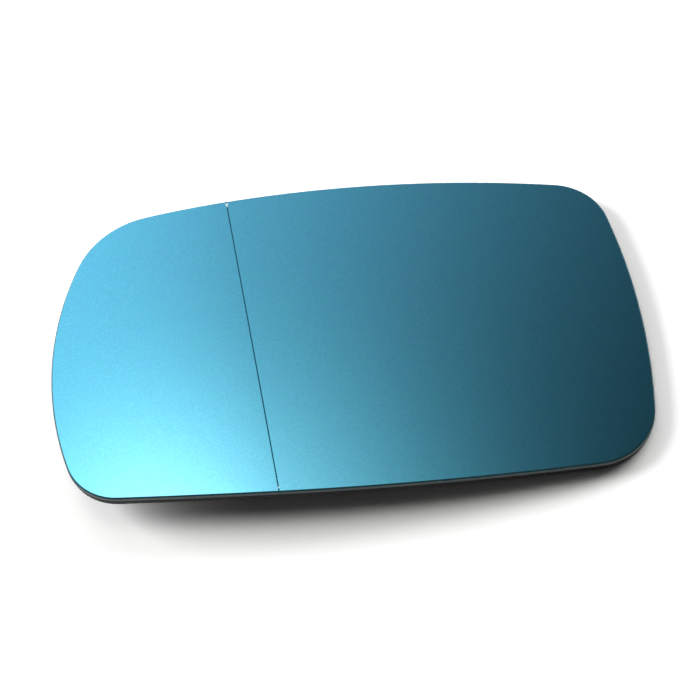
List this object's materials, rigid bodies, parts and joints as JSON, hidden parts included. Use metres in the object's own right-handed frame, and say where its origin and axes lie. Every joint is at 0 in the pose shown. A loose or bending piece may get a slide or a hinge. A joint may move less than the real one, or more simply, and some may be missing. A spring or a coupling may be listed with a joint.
{
  "type": "car door mirror glass",
  "caption": "Convex door mirror glass with a blue coat and an outer wide-angle zone, bonded with its heating foil to a moulded plate with a snap collar.",
  "frame": {"origin": "on the axis of the pilot collar, on the plane of the collar's rear end, where the part rests", "axes": "+X along the glass towards the car, +Y towards its upper edge, +Z out of the mirror face"},
  "size_m": [0.1805, 0.1091, 0.0143],
  "materials": {
    "coated_glass": "blue reflective coat",
    "heating_foil": "satin film",
    "adhesive": "matte film",
    "black_plastic": "fine moulded grain",
    "terminal_brass": "stamped",
    "rivet_brass": "rolled"
  },
  "bodies": {
    "root": {"mirror_glass": "coated_glass", "heater_foil": "heating_foil", "adhesive_film": "adhesive", "carrier_plate": "black_plastic", "terminal_tab_upper": "terminal_brass", "terminal_tab_lower": "terminal_brass", "terminal_rivets": "rivet_brass"}
  },
  "joints": []
}
